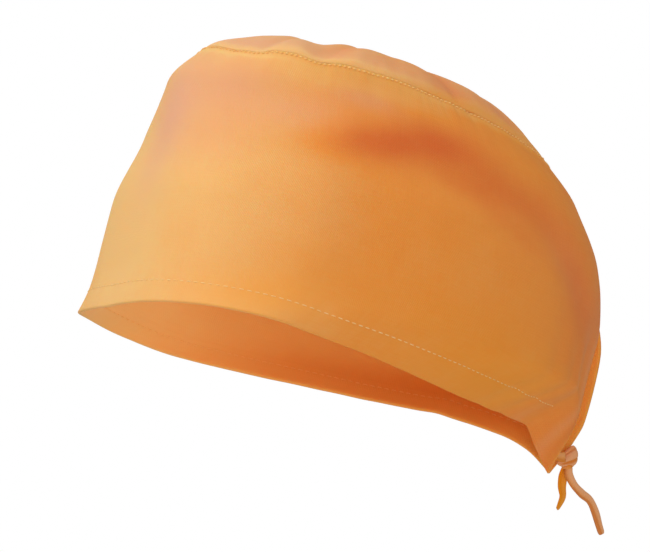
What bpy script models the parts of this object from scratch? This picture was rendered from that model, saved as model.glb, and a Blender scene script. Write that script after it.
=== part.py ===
"""A medical cap of plain cotton cloth, tied at the back, in the shape that it has on a head.

Metres, +Z up, the front towards -Y and the wearer's left towards +X, which is the near side here.
The origin is the middle of the head opening. The cap is worn pitched back, so its own height runs
along an axis that leans back by PITCH. Shares in the tables follow the named sizes.
"""
from bisect import bisect_right
from collections import namedtuple
from functools import lru_cache
from math import atan2, cos, exp, hypot, pi, radians, sin

import bmesh
import bpy
from mathutils import Matrix, Vector

MM = 0.001
CAP = "medical_cap"

# Driving sizes
RIM_LENGTH = 225 * MM  # the head opening, front to back
RIM_WIDTH = 154 * MM
BAND_HEIGHT = 117.5 * MM
CROWN_RISE = 19 * MM  # the top of the crown over its seam
PITCH = 14.5  # degrees that the back of the cap is lower than its front
CLOTH = 1.1 * MM
HEM_CLOTH = 1.9 * MM  # the cloth is turned up there, so it lies double
HEM_HEIGHT = 10.5 * MM
SEAM_GAP = 1.0 * MM  # between the side band and the crown, along the cloth
SLIT_HEIGHT = 77 * MM  # the slit at the centre back, from the hem up
SLIT_GAP = 12.8 * MM  # between its two edges at the hem
SLIT_STEP = 9 * MM  # how far its far edge stands behind its near edge
FOLD_DEPTH = 5 * MM
PUCKER_DEPTH = 1.4 * MM
TIE_WIDTH = 3.6 * MM
TIE_CLOTH = 1.5 * MM
KNOT_WIDTH = 8 * MM
KNOT_LENGTH = 10.5 * MM
KNOT_HEIGHT = 11 * MM
KNOT_FOOT = 0.42  # how far under the knot's middle the tails start, as a share of its height
TOUCH = 0.3 * MM  # the gap kept between two pieces that meet

# How finely the cloth is divided
BAND_COLUMNS = 40  # in each half of the side band
COLUMN_CROWDING = 1.3  # over 1 crowds the columns towards the slit
HEM_ROWS = 3  # rows of points on the double cloth
HEM_TURN = 1.2 * MM  # the height over which the hem thins to single cloth
SLIT_ROWS = 6  # beside the slit, over the hem
UPPER_ROWS = 7  # from the slit to the crown seam
ROW_CROWDING = 1.5  # over 1 crowds the upper rows towards the seam
CURVE_STEPS = 90  # used to measure along a section
CROWN_COLUMNS = 32  # in each half of the crown
CROWN_RINGS = (1.0, 0.95, 0.86, 0.74, 0.58, 0.38, 0.18)
STRAP_SIDES = 10

# Forms of the curves
SQUARENESS = 2.1  # of the sections: 2 is an ellipse, more is squarer
DOME_SQUARENESS = 3.2  # of the crown's rise: more is flatter on top
DOME_ROUNDNESS = 0.8  # less is steeper at the seam
PLEATS = 7  # round the knot
PLEAT_DEPTH = 0.12  # a share of the knot's radius
KNOT_TAPER = 0.15  # how much slimmer the knot's front end is
KNOT_LEAN = 0.12  # how much higher its back end is, a share of its height

# Level sections of the side band, from the rim (0) to the crown seam (1). Height is a share of
# BAND_HEIGHT, width a share of RIM_WIDTH, and front, back and widest are places along the cap, as
# shares of RIM_LENGTH from its middle. A form of 0.5 is a round end, and over 1 a drawn-in point.
Section = namedtuple("Section", "height front back width widest front_form back_form")
SECTIONS = (
    Section(0.00, -0.495, 0.500, 1.000, -0.285, 0.45, 1.58),
    Section(0.18, -0.483, 0.549, 0.986, -0.085, 0.32, 0.76),
    Section(0.40, -0.484, 0.555, 0.952, -0.078, 0.32, 0.77),
    Section(0.65, -0.467, 0.500, 0.889, -0.030, 0.40, 0.62),
    Section(0.85, -0.465, 0.413, 0.808, 0.027, 0.51, 0.56),
    Section(1.00, -0.415, 0.346, 0.722, -0.117, 0.52, 0.60),
)

# The rim's rise and fall round each half, as shares of BAND_HEIGHT. Around is a share of the
# half's length, from the centre front (0) to the edge of the slit (1).
Rim = namedtuple("Rim", "around near far")
RIM_LINE = (
    Rim(0.00, -0.024, -0.024),
    Rim(0.12, -0.006, -0.019),
    Rim(0.25, 0.005, 0.005),
    Rim(0.42, -0.012, -0.022),
    Rim(0.65, -0.022, -0.011),
    Rim(0.80, -0.013, -0.007),
    Rim(0.92, -0.005, -0.030),
    Rim(0.96, -0.067, -0.058),
    Rim(1.00, -0.145, -0.128),
)
RIM_FADE = 2.5  # how quickly the rim's line dies out with height

# The crown seam's fall towards the back, as shares of BAND_HEIGHT.
Seam = namedtuple("Seam", "around fall")
SEAM_LINE = (Seam(0.0, 0.006), Seam(0.5, 0.024), Seam(1.0, 0.069))

# The slit: its gap and step up the band, as shares of SLIT_GAP and SLIT_STEP. Height is a share
# of SLIT_HEIGHT.
Slit = namedtuple("Slit", "height gap step")
SLIT_LINE = (
    Slit(0.00, 1.00, 0.75),
    Slit(0.12, 0.97, 0.96),
    Slit(0.30, 0.78, 1.05),
    Slit(0.53, 0.62, 0.98),
    Slit(0.76, 0.41, 0.60),
    Slit(1.00, 0.00, 0.00),
)
GAP_REACH = 6  # powers of around: how near to the slit its gap and its step are felt
STEP_REACH = 14

# Soft folds in the side band. Side is 1 for the near half and -1 for the far half. Around and
# height are the fold's middle, length a share of the half's length, breadth a share of
# BAND_HEIGHT, turn its rise towards the back in degrees, and depth a share of FOLD_DEPTH, which
# is negative where the cloth stands out.
Fold = namedtuple("Fold", "side around height length breadth turn depth")
FOLDS = (
    Fold(1, 0.42, 0.69, 0.16, 0.11, 4, 0.55),
    Fold(1, 0.60, 0.71, 0.13, 0.10, -4, 0.75),
    Fold(1, 0.77, 0.58, 0.13, 0.10, -34, 0.60),
    Fold(1, 0.62, 0.57, 0.13, 0.05, 8, 0.20),
    Fold(1, 0.31, 0.40, 0.05, 0.45, 0, -0.25),
    Fold(1, 0.16, 0.76, 0.10, 0.10, 12, 0.30),
    Fold(1, 0.84, 0.12, 0.02, 0.22, 0, 0.22),
    Fold(1, 0.93, 0.25, 0.045, 0.20, 0, 0.85),
    Fold(1, 0.77, 0.16, 0.02, 0.22, 0, 0.16),
    Fold(-1, 0.38, 0.66, 0.16, 0.11, 3, 0.50),
    Fold(-1, 0.62, 0.70, 0.14, 0.10, -6, 0.75),
    Fold(-1, 0.79, 0.52, 0.12, 0.10, -30, 0.55),
    Fold(-1, 0.20, 0.42, 0.05, 0.40, 0, -0.20),
    Fold(-1, 0.82, 0.15, 0.02, 0.22, 0, 0.20),
)

# Puckers where the crown is eased into its seam. Breadth is a share of the half's length, and
# depth a share of PUCKER_DEPTH.
Pucker = namedtuple("Pucker", "side around breadth depth")
PUCKERS = (
    Pucker(1, 0.10, 0.035, 0.5),
    Pucker(1, 0.34, 0.070, 1.3),
    Pucker(1, 0.24, 0.025, 0.5),
    Pucker(1, 0.55, 0.040, 0.9),
    Pucker(1, 0.72, 0.030, 0.8),
    Pucker(1, 0.86, 0.030, 1.0),
    Pucker(-1, 0.12, 0.035, 0.7),
    Pucker(-1, 0.30, 0.030, 0.8),
    Pucker(-1, 0.48, 0.040, 0.9),
    Pucker(-1, 0.66, 0.035, 0.7),
    Pucker(-1, 0.84, 0.030, 1.0),
)

# The free ends of the tie, as places under the middle of the knot's lower side, in metres: x to
# the wearer's left, y back and z up. Width is a share of TIE_WIDTH.
Route = namedtuple("Route", "x y z width")
LONG_TAIL = (
    Route(0.0014, 0.0015, -0.0004, 0.9),
    Route(0.0015, 0.0014, -0.0035, 1.0),
    Route(0.0017, 0.0038, -0.0080, 1.0),
    Route(0.0014, 0.0081, -0.0120, 1.0),
    Route(0.0008, 0.0124, -0.0150, 1.0),
    Route(0.0004, 0.0152, -0.0200, 1.0),
    Route(0.0006, 0.0169, -0.0262, 1.0),
    Route(0.0008, 0.0180, -0.0300, 0.9),
)
SHORT_TAIL = (
    Route(-0.0016, 0.0004, -0.0006, 0.6),
    Route(-0.0018, -0.0008, -0.0044, 1.0),
    Route(-0.0018, -0.0014, -0.0088, 1.0),
    Route(-0.0014, -0.0013, -0.0132, 0.9),
    Route(-0.0010, -0.0034, -0.0172, 0.5),
    Route(-0.0008, -0.0045, -0.0186, 0.2),
)
TAIL_STEP = 2 * MM  # between the points of a tail's line

# Where the stretches of tie from the hem's ends stop short of the knot: x, y and z are shares of
# half its width, length and height from its middle.
TieEnd = namedtuple("TieEnd", "name side x y z")
TIE_ENDS = (
    TieEnd("tie_near", 1, 0.95, -0.72, -0.10),
    TieEnd("tie_far", -1, -1.12, 0.30, -0.10),
)

COTTON = (0.80, 0.36, 0.12, 1.0)
SHADED_COTTON = (0.72, 0.30, 0.09, 1.0)

WORN = Matrix.Rotation(radians(-PITCH), 4, "X")


def smooth(rows, column, at):
    """Read a column of a table at a place on its first column, along a smooth monotone line."""
    places = [row[0] for row in rows]
    values = [getattr(row, column) for row in rows]
    steps = [b - a for a, b in zip(places, places[1:])]
    rises = [(b - a) / step for a, b, step in zip(values, values[1:], steps)]
    i = min(max(bisect_right(places, at) - 1, 0), len(steps) - 1)

    def slope(row):
        before = rises[max(row - 1, 0)]
        after = rises[min(row, len(rises) - 1)]
        return 2 * before * after / (before + after) if before * after > 0 else 0.0

    t = min(max((at - places[i]) / steps[i], 0.0), 1.0)
    start = (1 + 2 * t) * (1 - t) ** 2 * values[i] + t * (1 - t) ** 2 * steps[i] * slope(i)
    end = t**2 * (3 - 2 * t) * values[i + 1] - t**2 * (1 - t) * steps[i] * slope(i + 1)
    return start + end


@lru_cache(maxsize=None)
def half_outline(height):
    """One half of a level section as rows of (run, x, y), run being the length from its front."""
    front, back, widest = (
        smooth(SECTIONS, column, height) * RIM_LENGTH for column in ("front", "back", "widest")
    )
    half_width = smooth(SECTIONS, "width", height) * RIM_WIDTH / 2
    front_form = smooth(SECTIONS, "front_form", height)
    back_form = smooth(SECTIONS, "back_form", height)
    rows = []
    for step in range(-CURVE_STEPS, CURVE_STEPS + 1):
        share = sin(pi / 2 * step / CURVE_STEPS)
        form = front_form if share < 0 else back_form
        reach = widest - front if share < 0 else back - widest
        x = half_width * (1 - abs(share) ** SQUARENESS) ** form
        y = widest + reach * share
        run = rows[-1][0] + hypot(x - rows[-1][1], y - rows[-1][2]) if rows else 0.0
        rows.append((run, x, y))
    return rows


def plain_cloth(side, around, height):
    """The side band's outer surface before its folds, in the cap's own level frame."""
    rows = half_outline(height)
    run = around * rows[-1][0]
    i = min(max(bisect_right(rows, (run,)) - 1, 0), len(rows) - 2)
    (run_a, x_a, y_a), (run_b, x_b, y_b) = rows[i], rows[i + 1]
    t = (run - run_a) / (run_b - run_a)
    x = x_a + t * (x_b - x_a)
    y = y_a + t * (y_b - y_a)
    up_slit = min(height * BAND_HEIGHT / SLIT_HEIGHT, 1.0)
    x += SLIT_GAP / 2 * smooth(SLIT_LINE, "gap", up_slit) * around**GAP_REACH
    y -= side * SLIT_STEP / 2 * smooth(SLIT_LINE, "step", up_slit) * around**STEP_REACH
    rim = smooth(RIM_LINE, "near" if side > 0 else "far", around) * (1 - height) ** RIM_FADE
    fall = smooth(SEAM_LINE, "fall", around) * height**2
    return Vector((side * x, y, (height + rim - fall) * BAND_HEIGHT))


def fold_depth(side, around, height):
    """How far the folds push the cloth in at a place on the side band."""
    depth = 0.0
    for fold in FOLDS:
        if fold.side != side:
            continue
        half_length = half_outline(0.0)[-1][0]
        along = (around - fold.around) * half_length
        up = (height - fold.height) * BAND_HEIGHT
        turn = radians(fold.turn)
        with_fold = (along * cos(turn) + up * sin(turn)) / (fold.length * half_length)
        across_fold = (up * cos(turn) - along * sin(turn)) / (fold.breadth * BAND_HEIGHT)
        depth += fold.depth * FOLD_DEPTH * exp(-(with_fold**2) - across_fold**2)
    return depth


def cloth(side, around, height):
    """The side band's outer surface with its folds, in the cap's own level frame."""
    reach = 0.004
    behind, ahead = max(around - reach, 0.0), min(around + reach, 1.0)
    below, above = max(height - reach, 0.0), min(height + reach, 1.0)
    run = plain_cloth(side, ahead, height) - plain_cloth(side, behind, height)
    rise = plain_cloth(side, around, above) - plain_cloth(side, around, below)
    outward = run.cross(rise).normalized() * side
    return plain_cloth(side, around, height) - outward * fold_depth(side, around, height)


def new_object(name, data, colour):
    """Put a shape in the cap's collection with a cotton material of its own."""
    material = bpy.data.materials.new(name + "_cotton")
    material.use_nodes = True
    shader = material.node_tree.nodes["Principled BSDF"]
    shader.inputs["Base Color"].default_value = colour
    shader.inputs["Roughness"].default_value = 0.9
    shader.inputs["Metallic"].default_value = 0.0
    data.materials.append(material)
    piece = bpy.data.objects.new(name, data)
    bpy.data.collections[CAP].objects.link(piece)
    return piece


def mesh_from(name, points, faces):
    """A smooth mesh from points and faces."""
    mesh = bpy.data.meshes.new(name)
    mesh.from_pydata(points, [], faces)
    mesh.shade_smooth()
    return mesh


def add_cloth_wall(piece, thickness):
    """Give an open surface its thickness, inwards."""
    wall = piece.modifiers.new("cloth", "SOLIDIFY")
    wall.thickness = thickness
    wall.offset = -1
    return wall


def band_columns():
    """Shares round a half of the band, closer together towards the slit."""
    return [1 - (1 - i / BAND_COLUMNS) ** COLUMN_CROWDING for i in range(BAND_COLUMNS + 1)]


def band_rows():
    """Shares up the band: the hem, the cloth beside the slit, and the cloth over it."""
    hem = HEM_HEIGHT / BAND_HEIGHT
    over_hem = (HEM_HEIGHT + HEM_TURN) / BAND_HEIGHT
    slit = SLIT_HEIGHT / BAND_HEIGHT
    rows = [hem * i / (HEM_ROWS - 1) for i in range(HEM_ROWS)]
    rows += [over_hem + (slit - over_hem) * i / SLIT_ROWS for i in range(SLIT_ROWS + 1)]
    steps_left = [1 - i / UPPER_ROWS for i in range(1, UPPER_ROWS + 1)]
    rows += [1 - (1 - slit) * left**ROW_CROWDING for left in steps_left]
    return rows


def side_band():
    """The wall round the head, in two halves joined at the front and over the slit."""
    columns = band_columns()
    rows = band_rows()
    last = len(columns) - 1
    slit_top = HEM_ROWS + SLIT_ROWS
    points = []
    places = {}
    for side in (1, -1):
        for j, height in enumerate(rows):
            for i, around in enumerate(columns):
                shared = i == 0 or (i == last and j >= slit_top)
                if shared and side == -1:
                    places[side, i, j] = places[1, i, j]
                    continue
                places[side, i, j] = len(points)
                points.append(cloth(side, around, height))
    faces = []
    for side in (1, -1):
        for j in range(len(rows) - 1):
            for i in range(last):
                corners = ((i, j), (i + 1, j), (i + 1, j + 1), (i, j + 1))
                face = [places[side, a, b] for a, b in corners]
                faces.append(face if side == 1 else face[::-1])
    band = new_object("side_band", mesh_from("side_band", points, faces), COTTON)
    band.rotation_euler.x = radians(-PITCH)
    hem = band.vertex_groups.new(name="hem")
    hem_points = {place for (_, _, j), place in places.items() if j < HEM_ROWS}
    hem.add(sorted(hem_points), 1.0, "REPLACE")
    wall = add_cloth_wall(band, HEM_CLOTH)
    wall.vertex_group = "hem"
    wall.thickness_vertex_group = CLOTH / HEM_CLOTH


def crown_point(edge, middle, side, around, ring):
    """A point of the crown, ring being its share of the way from the middle to the seam."""
    inset = edge - (edge - middle).normalized() * SEAM_GAP
    point = middle.lerp(inset, ring)
    point.z = middle.z + (inset.z - middle.z) * ring**2 + SEAM_GAP / 2
    point.z += CROWN_RISE * (1 - ring**DOME_SQUARENESS) ** DOME_ROUNDNESS
    for pucker in PUCKERS:
        if pucker.side == side:
            closeness = exp(-(((around - pucker.around) / pucker.breadth) ** 2))
            point.z -= pucker.depth * PUCKER_DEPTH * closeness * sin(pi * ring**3)
    return point


def crown_panel():
    """The oval panel sewn into the top of the side band."""
    columns = [i / CROWN_COLUMNS for i in range(CROWN_COLUMNS + 1)]
    loop = [(1, around) for around in columns]
    loop += [(-1, around) for around in columns[-2:0:-1]]
    edge = [cloth(side, around, 1.0) for side, around in loop]
    middle = sum(edge, Vector()) / len(edge)
    points = []
    for ring in CROWN_RINGS:
        for (side, around), place in zip(loop, edge):
            points.append(crown_point(place, middle, side, around, ring))
    points.append(middle + Vector((0, 0, CROWN_RISE + SEAM_GAP / 2)))
    faces = []
    count = len(loop)
    for ring in range(len(CROWN_RINGS) - 1):
        for i in range(count):
            after = (i + 1) % count
            low, high = ring * count, (ring + 1) * count
            faces.append((low + i, low + after, high + after, high + i))
    inner = (len(CROWN_RINGS) - 1) * count
    faces += [(inner + i, inner + (i + 1) % count, len(points) - 1) for i in range(count)]
    crown = new_object("crown_panel", mesh_from("crown_panel", points, faces), COTTON)
    crown.rotation_euler.x = radians(-PITCH)
    add_cloth_wall(crown, CLOTH)


def hem_end(side):
    """The middle of the hem's end at the slit, where the tie comes out, and the way it faces."""
    hem = HEM_HEIGHT / BAND_HEIGHT
    low, middle, high = (WORN @ cloth(side, 1.0, hem * share) for share in (0.3, 0.62, 0.95))
    up = high - low
    outward = Vector((0, up.z, -up.y)).normalized()
    return middle - Vector((side * HEM_CLOTH / 2, 0, 0)), outward


def knot_middle():
    """The knot sits between the hem's two ends, drawn a little back from them."""
    near, far = hem_end(1)[0], hem_end(-1)[0]
    return (near + far) / 2 + Vector((0, KNOT_LENGTH * 0.42, 0))


def tie_knot():
    """The pulled knot: a small lump with pleats that fan out from its front end."""
    shape = bmesh.new()
    bmesh.ops.create_uvsphere(shape, u_segments=28, v_segments=12, radius=1.0)
    for vert in shape.verts:
        x, down, back = vert.co
        round_angle = atan2(down, x)
        pleat = 1 - PLEAT_DEPTH / 2 * (1 + cos(PLEATS * round_angle)) * (1 - back**2)
        fan = 1 - KNOT_TAPER * (1 - back)
        vert.co = (
            x * pleat * fan * KNOT_WIDTH / 2,
            back * KNOT_LENGTH / 2,
            -down * pleat * fan * KNOT_HEIGHT / 2 + back * KNOT_HEIGHT * KNOT_LEAN,
        )
    mesh = bpy.data.meshes.new("tie_knot")
    shape.to_mesh(mesh)
    shape.free()
    mesh.shade_smooth()
    knot = new_object("tie_knot", mesh, COTTON)
    knot.location = knot_middle()


def route_line(route, base):
    """Points and radii along a smooth line through a tail's places, TAIL_STEP apart."""
    places = [base + Vector(row[:3]) for row in route]
    widths = [row.width for row in route]
    line = []
    for i in range(len(places) - 1):
        before, a = places[max(i - 1, 0)], places[i]
        b, after = places[i + 1], places[min(i + 2, len(places) - 1)]
        steps = max(round((b - a).length / TAIL_STEP), 1)
        for step in range(steps):
            t = step / steps
            bend = (b - before) * (t - 2 * t**2 + t**3) + (after - a) * (t**3 - t**2)
            point = a * (1 - 3 * t**2 + 2 * t**3) + b * (3 * t**2 - 2 * t**3) + bend / 2
            line.append((point, widths[i] + (widths[i + 1] - widths[i]) * t))
    line.append((places[-1], widths[-1]))
    return line


def cord_tail(name, line):
    """A free end of the tie as a round tube."""
    curve = bpy.data.curves.new(name, "CURVE")
    curve.dimensions = "3D"
    curve.bevel_depth = TIE_WIDTH / 2
    curve.bevel_resolution = 2
    curve.use_fill_caps = True
    spline = curve.splines.new("POLY")
    spline.points.add(len(line) - 1)
    for point, (place, width) in zip(spline.points, line):
        point.co = (*place, 1)
        point.radius = width
    new_object(name, curve, SHADED_COTTON)


def flat_strap(name, line):
    """A flat stretch of the tie, swept along its line with its flat sides towards +X and -X."""
    points = []
    for i, (place, width) in enumerate(line):
        onward = line[min(i + 1, len(line) - 1)][0] - line[max(i - 1, 0)][0]
        across = onward.cross(Vector((1, 0, 0))).normalized()
        through = across.cross(onward).normalized()
        for corner in range(STRAP_SIDES):
            turn = 2 * pi * corner / STRAP_SIDES
            wide = across * (width * TIE_WIDTH / 2 * sin(turn))
            thick = through * (TIE_CLOTH / 2 * (0.4 + 0.6 * width) * cos(turn))
            points.append(place + wide + thick)
    faces = [list(range(STRAP_SIDES)), [len(points) - 1 - i for i in range(STRAP_SIDES)]]
    for ring in range(len(line) - 1):
        for i in range(STRAP_SIDES):
            after = (i + 1) % STRAP_SIDES
            low, high = ring * STRAP_SIDES, (ring + 1) * STRAP_SIDES
            faces.append((low + i, high + i, high + after, low + after))
    shape = bmesh.new()
    mesh = mesh_from(name, points, faces)
    shape.from_mesh(mesh)
    bmesh.ops.recalc_face_normals(shape, faces=shape.faces)
    shape.to_mesh(mesh)
    shape.free()
    new_object(name, mesh, SHADED_COTTON)


def tie_ends():
    """The short stretches of tie between the hem's two ends and the knot."""
    knot = knot_middle()
    for end in TIE_ENDS:
        hem, outward = hem_end(end.side)
        start = hem + outward * 2 * TOUCH
        bend = start + outward * TIE_CLOTH * 0.8 - Vector((end.side * TIE_CLOTH * 0.2, 0, 0))
        place = Vector((end.x * KNOT_WIDTH / 2, end.y * KNOT_LENGTH / 2, end.z * KNOT_HEIGHT / 2))
        flat_strap(end.name, [(start, 0.8), (bend, 0.85), (knot + place, 0.9)])


def build():
    for item in list(bpy.data.objects):
        bpy.data.objects.remove(item)
    bpy.context.scene.collection.children.link(bpy.data.collections.new(CAP))
    side_band()
    crown_panel()
    tie_knot()
    tie_ends()
    knot_base = knot_middle() - Vector((0, 0, KNOT_FOOT * KNOT_HEIGHT))
    cord_tail("tie_tail_long", route_line(LONG_TAIL, knot_base))
    flat_strap("tie_tail_short", route_line(SHORT_TAIL, knot_base))


build()
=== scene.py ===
"""The looks of a medical cap of plain cotton, tied at the back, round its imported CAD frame.

Metres, +Z up, the front towards -Y and the wearer's left towards +X, which is the near side here.
The cloth follows the sizes and tables of the part on a finer grid. Nearly all of it lies within
2 mm of the solids, and the deepest valley across the crown 4 mm from them. The turned hem, the
folded slit edges, the gathers and the stitches are added here.
"""
from bisect import bisect_right
from collections import namedtuple
from functools import lru_cache
from math import cos, exp, hypot, pi, radians, sin

import bmesh
import bpy
import numpy as np
from mathutils import Matrix, Vector, noise


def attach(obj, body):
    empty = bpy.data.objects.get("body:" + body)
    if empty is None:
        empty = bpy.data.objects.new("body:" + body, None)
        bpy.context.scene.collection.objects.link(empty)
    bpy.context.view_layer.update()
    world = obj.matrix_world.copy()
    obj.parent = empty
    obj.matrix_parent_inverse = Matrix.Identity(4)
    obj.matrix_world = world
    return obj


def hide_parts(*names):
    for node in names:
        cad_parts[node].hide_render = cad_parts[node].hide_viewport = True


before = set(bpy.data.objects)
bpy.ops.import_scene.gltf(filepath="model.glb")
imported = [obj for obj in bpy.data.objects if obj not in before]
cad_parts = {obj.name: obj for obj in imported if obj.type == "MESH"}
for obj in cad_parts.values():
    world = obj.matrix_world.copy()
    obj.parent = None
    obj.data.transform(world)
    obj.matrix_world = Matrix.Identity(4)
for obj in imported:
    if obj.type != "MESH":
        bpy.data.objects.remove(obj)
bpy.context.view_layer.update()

MM = 0.001


def table(fields, *rows):
    """A table's rows as named tuples with the given fields."""
    kind = namedtuple("Row", fields)
    return tuple(kind(*row) for row in rows)


# Sizes and tables of the part, with small changes where its outline in the picture asks for them
RIM_LENGTH = 225 * MM
RIM_WIDTH = 154 * MM
BAND_HEIGHT = 117.5 * MM
CROWN_RISE = 19 * MM
PITCH = 14.5
CLOTH = 1.1 * MM
HEM_CLOTH = 1.9 * MM
HEM_HEIGHT = 10.5 * MM
SLIT_HEIGHT = 77 * MM
SLIT_GAP = 12.8 * MM
SLIT_STEP = 9 * MM
FOLD_DEPTH = 5 * MM
PUCKER_DEPTH = 1.4 * MM
TIE_WIDTH = 3.6 * MM
TIE_CLOTH = 1.5 * MM
KNOT_WIDTH = 8 * MM
KNOT_LENGTH = 10.5 * MM
KNOT_HEIGHT = 11 * MM
KNOT_FOOT = 0.42
TOUCH = 0.3 * MM
CURVE_STEPS = 90
SQUARENESS = 2.1
DOME_SQUARENESS = 3.2
DOME_ROUNDNESS = 0.8
RIM_FADE = 2.5
GAP_REACH = 6
STEP_REACH = 14

SECTIONS = table(
    "height front back width widest front_form back_form",
    (0.00, -0.495, 0.500, 1.000, -0.285, 0.45, 1.58),
    (0.18, -0.483, 0.549, 0.986, -0.085, 0.32, 0.76),
    (0.40, -0.484, 0.555, 0.952, -0.078, 0.32, 0.77),
    (0.65, -0.467, 0.500, 0.889, -0.030, 0.40, 0.62),
    (0.85, -0.465, 0.413, 0.808, 0.027, 0.51, 0.56),
    (1.00, -0.415, 0.346, 0.722, -0.117, 0.52, 0.60),
)
RIM_LINE = table(
    "around near far",
    (0.00, -0.024, -0.024),
    (0.12, -0.006, -0.019),
    (0.25, 0.005, 0.005),
    (0.42, -0.012, -0.027),
    (0.65, -0.022, -0.018),
    (0.80, -0.013, -0.014),
    (0.92, -0.005, -0.036),
    (0.96, -0.067, -0.064),
    (1.00, -0.145, -0.128),
)
SEAM_LINE = table("around fall", (0.0, 0.006), (0.5, 0.024), (1.0, 0.069))
SLIT_LINE = table(
    "height gap step",
    (0.00, 1.00, 0.75),
    (0.12, 0.97, 0.96),
    (0.30, 0.78, 1.05),
    (0.53, 0.62, 0.98),
    (0.76, 0.41, 0.60),
    (1.00, 0.00, 0.00),
)
FOLDS = table(
    "side around height length breadth turn depth",
    (1, 0.42, 0.69, 0.16, 0.11, 4, 0.55),
    (1, 0.60, 0.71, 0.13, 0.10, -4, 0.75),
    (1, 0.77, 0.58, 0.13, 0.10, -34, 0.60),
    (1, 0.62, 0.57, 0.13, 0.05, 8, 0.20),
    (1, 0.31, 0.40, 0.05, 0.45, 0, -0.25),
    (1, 0.16, 0.76, 0.10, 0.10, 12, 0.30),
    (1, 0.84, 0.12, 0.02, 0.22, 0, 0.22),
    (1, 0.93, 0.25, 0.045, 0.20, 0, 0.85),
    (1, 0.77, 0.16, 0.02, 0.22, 0, 0.16),
    (-1, 0.38, 0.66, 0.16, 0.11, 3, 0.50),
    (-1, 0.62, 0.70, 0.14, 0.10, -6, 0.75),
    (-1, 0.79, 0.52, 0.12, 0.10, -30, 0.55),
    (-1, 0.20, 0.42, 0.05, 0.40, 0, -0.20),
    (-1, 0.82, 0.15, 0.02, 0.22, 0, 0.20),
)
PUCKERS = table(
    "side around breadth depth",
    (1, 0.13, 0.030, 1.0),
    (1, 0.27, 0.040, 1.5),
    (1, 0.40, 0.030, 0.5),
    (1, 0.55, 0.040, 0.9),
    (1, 0.72, 0.030, 0.8),
    (1, 0.86, 0.030, 1.0),
    (-1, 0.12, 0.035, 0.7),
    (-1, 0.30, 0.030, 0.8),
    (-1, 0.48, 0.040, 0.9),
    (-1, 0.66, 0.035, 0.7),
    (-1, 0.84, 0.030, 1.0),
)
# Where the gathers draw the crown seam down, and the soft valleys across the crown, which are
# ridges where their depth is below 0
SEAM_DIPS = table(
    "side around breadth depth",
    (1, 0.10, 0.058, 2.0 * MM),
    (1, 0.14, 0.020, 0.9 * MM),
    (1, 0.26, 0.030, 1.6 * MM),
    (1, 0.42, 0.060, -0.5 * MM),
    (1, 0.76, 0.020, 0.7 * MM),
    (-1, 0.10, 0.058, 2.0 * MM),
    (-1, 0.30, 0.030, 1.2 * MM),
    (-1, 0.55, 0.025, 0.9 * MM),
)
VALLEYS = table(
    "place breadth depth",
    (-0.070, 0.008, 1.2 * MM),
    (-0.0484, 0.006, -0.9 * MM),
    (-0.0355, 0.0065, 2.2 * MM),
    (-0.022, 0.007, -0.8 * MM),
    (0.036, 0.014, -1.2 * MM),
)
VALLEY_TURN = 29  # from the crown's length, in degrees
LONG_TAIL = table(
    "x y z width",
    (0.0014, 0.0015, -0.0004, 0.9),
    (0.0015, 0.0014, -0.0035, 1.0),
    (0.0017, 0.0038, -0.0080, 1.0),
    (0.0014, 0.0081, -0.0120, 1.0),
    (0.0008, 0.0124, -0.0150, 1.0),
    (0.0004, 0.0152, -0.0200, 1.0),
    (0.0006, 0.0169, -0.0262, 1.0),
    (0.0008, 0.0180, -0.0300, 0.9),
)
SHORT_TAIL = table(
    "x y z width",
    (-0.0016, 0.0004, -0.0006, 0.6),
    (-0.0018, -0.0008, -0.0044, 1.0),
    (-0.0018, -0.0014, -0.0088, 1.0),
    (-0.0014, -0.0013, -0.0132, 0.9),
    (-0.0010, -0.0034, -0.0172, 0.5),
    (-0.0008, -0.0045, -0.0186, 0.2),
)
TIE_ENDS = table(
    "name side x y z",
    ("tie_near", 1, 0.95, -0.72, -0.10),
    ("tie_far", -1, -1.12, 0.30, -0.10),
)
WORN = Matrix.Rotation(radians(-PITCH), 4, "X")

# The view
VIEW_TURN = 62.2
VIEW_RISE = -1.6
VIEW_DISTANCE = 1.495
FOCAL_PIXELS = 3488.4
PICTURE = (650, 552)
ORIGIN_PIXEL = (336.5, 370.8)

# Sizes of the sewing, of the cut and of the tie
HEM_STITCHES = 9.4 * MM  # over the hem's edge
INNER_STITCHES = 6.6 * MM  # the same seam on the inside
SLIT_STITCHES = 6 * MM  # from the slit's edges
SEAM_STITCHES = 0.8 * MM  # under the crown seam
FACING = 7.5 * MM  # the cloth turned in beside the slit
SEAM_ALLOWANCE = 8 * MM
LONG_STITCH = (3.3 * MM, 2.2 * MM)  # from stitch to stitch, and the length of one
SHORT_STITCH = (2.1 * MM, 1.3 * MM)
THREAD = 0.42 * MM
SEAM_THREAD = 0.72 * MM
HEM_SEWN_TO = 0.925  # the place round the near hem from which its stitches show
CORNER_BACK = 0.8 * MM  # the slit's lower corners, drawn back by the ties
FAR_EDGE_BACK = 1.3 * MM  # the far slit edge, which stands out past the near one


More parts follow.
